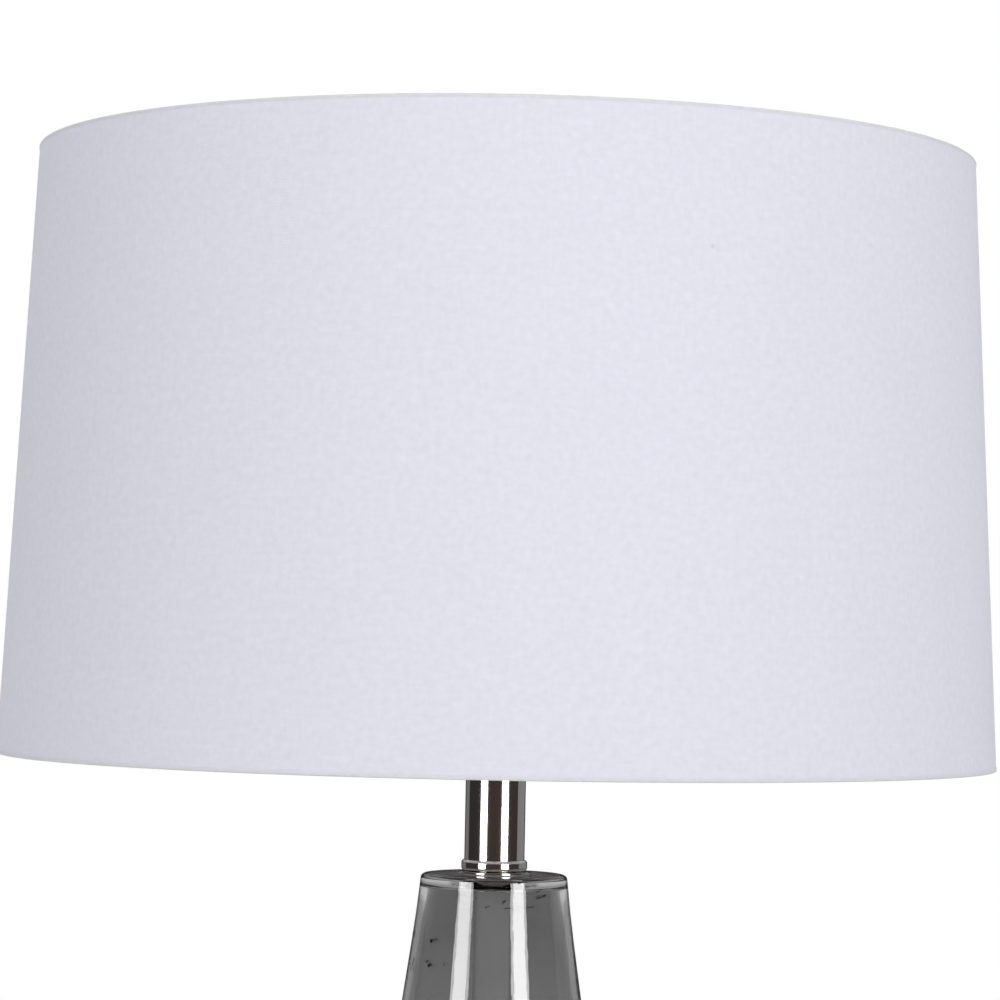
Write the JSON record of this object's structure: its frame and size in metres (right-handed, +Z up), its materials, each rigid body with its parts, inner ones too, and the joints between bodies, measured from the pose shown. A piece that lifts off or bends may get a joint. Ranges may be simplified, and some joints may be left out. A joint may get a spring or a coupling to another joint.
{
  "type": "table lamp",
  "caption": "Table lamp with a tapered smoke-grey glass column on a weighted metal foot, a turned metal neck and a white tapered drum shade held by a harp and finial.",
  "frame": {"origin": "on the lamp's axis, in the plane that its felt pad stands on", "axes": "+Z up along the lamp's axis; the front with the switch knob is towards -Y, the cord inlet towards +Y, and the harp lies in the XZ plane"},
  "size_m": [0.4074, 0.4074, 0.6602],
  "materials": {
    "felt": "pressed wool felt",
    "nickel": "satin nickel plate on turned metal",
    "cast_iron": "as cast, blackened",
    "black_plastic": "moulded black nylon",
    "zinc_steel": "zinc plated",
    "clear_gasket": "translucent vinyl",
    "smoke_glass": "smoke-grey glass with seed bubbles",
    "brass": "bare brass",
    "phenolic": "dark moulded phenolic",
    "insulating_paper": "fibre board",
    "aluminium": "rolled sheet",
    "knob_plastic": "moulded black plastic",
    "solder": "solder tip",
    "bulb_insulator": "black vitrified glass",
    "bulb_glass": "inside-frosted white glass",
    "shade_linen": "fine plain weave, cool white",
    "shade_lining": "white styrene lining board",
    "hem_linen": "folded edge of the same cloth",
    "ring_wire": "white coated steel wire"
  },
  "bodies": {
    "base": {"felt_pad": "felt", "base_foot": "nickel", "base_weight": "cast_iron", "cord_bushing": "black_plastic", "base_washer": "zinc_steel", "base_nut": "zinc_steel", "lamp_pipe": "zinc_steel", "inner_sleeve": "aluminium", "lower_gasket": "clear_gasket", "glass_body": "smoke_glass", "neck_washer": "clear_gasket", "neck_foot": "nickel", "neck_collar": "nickel", "neck_stem": "nickel", "neck_cap": "nickel", "harp_saddle": "nickel", "socket_cap": "nickel", "cap_set_screw": "zinc_steel", "socket_shell": "nickel", "socket_insulator": "insulating_paper", "socket_core": "phenolic", "screw_shell": "brass", "centre_contact": "brass", "terminal_screws": "brass"},
    "switch": {"switch_shaft": "brass", "switch_knob": "knob_plastic"},
    "bulb_tip": {"bulb_contact": "solder"},
    "bulb": {"bulb_insulator": "bulb_insulator", "bulb_cap": "aluminium", "bulb_glass": "bulb_glass"},
    "harp": {"harp_bow": "nickel", "harp_block": "nickel", "harp_stud": "brass"},
    "ferrule_left": {"harp_ferrule_left": "nickel"},
    "ferrule_right": {"harp_ferrule_right": "nickel"},
    "shade": {"shade_fabric": "shade_linen", "shade_board": "shade_lining", "top_ring": "ring_wire", "bottom_ring": "ring_wire", "top_hem": "hem_linen", "bottom_hem": "hem_linen", "spider_arms": "ring_wire", "spider_hub": "ring_wire"},
    "finial_thread": {"finial_insert": "brass"},
    "finial": {"finial_knob": "nickel"}
  },
  "joints": [
    {"name": "knob_turn", "type": "hinge", "parent": "base", "child": "switch", "pos_m": [0, -0.0147, 0.4377], "axis": [0, -1, 0], "continuous": true},
    {"name": "bulb_rise", "type": "slide", "parent": "base", "child": "bulb_tip", "axis": [0, 0, 1], "range_m": [0, 0.01451]},
    {"name": "bulb_turn", "type": "hinge", "parent": "bulb_tip", "child": "bulb", "pos_m": [0, 0, 0.447], "axis": [0, 0, 1], "range_deg": [0, 1440]},
    {"name": "harp_lift", "type": "slide", "parent": "base", "child": "harp", "axis": [0, 0, 1], "range_m": [0, 0.145]},
    {"name": "ferrule_left_slide", "type": "slide", "parent": "harp", "child": "ferrule_left", "axis": [0, 0, 1], "range_m": [0, 0.012]},
    {"name": "ferrule_right_slide", "type": "slide", "parent": "harp", "child": "ferrule_right", "axis": [0, 0, 1], "range_m": [0, 0.012]},
    {"name": "shade_turn", "type": "hinge", "parent": "harp", "child": "shade", "pos_m": [0, 0, 0.6326], "axis": [0, 0, 1], "continuous": true},
    {"name": "finial_rise", "type": "slide", "parent": "harp", "child": "finial_thread", "axis": [0, 0, 1], "range_m": [0, 0.01411]},
    {"name": "finial_turn", "type": "hinge", "parent": "finial_thread", "child": "finial", "pos_m": [0, 0, 0.6342], "axis": [0, 0, 1], "range_deg": [0, 5400]}
  ],
  "couplings": [
    {"joint": "bulb_turn", "follows": "bulb_rise", "rad_per_m": 1731.6},
    {"joint": "finial_turn", "follows": "finial_rise", "rad_per_m": 6679}
  ]
}
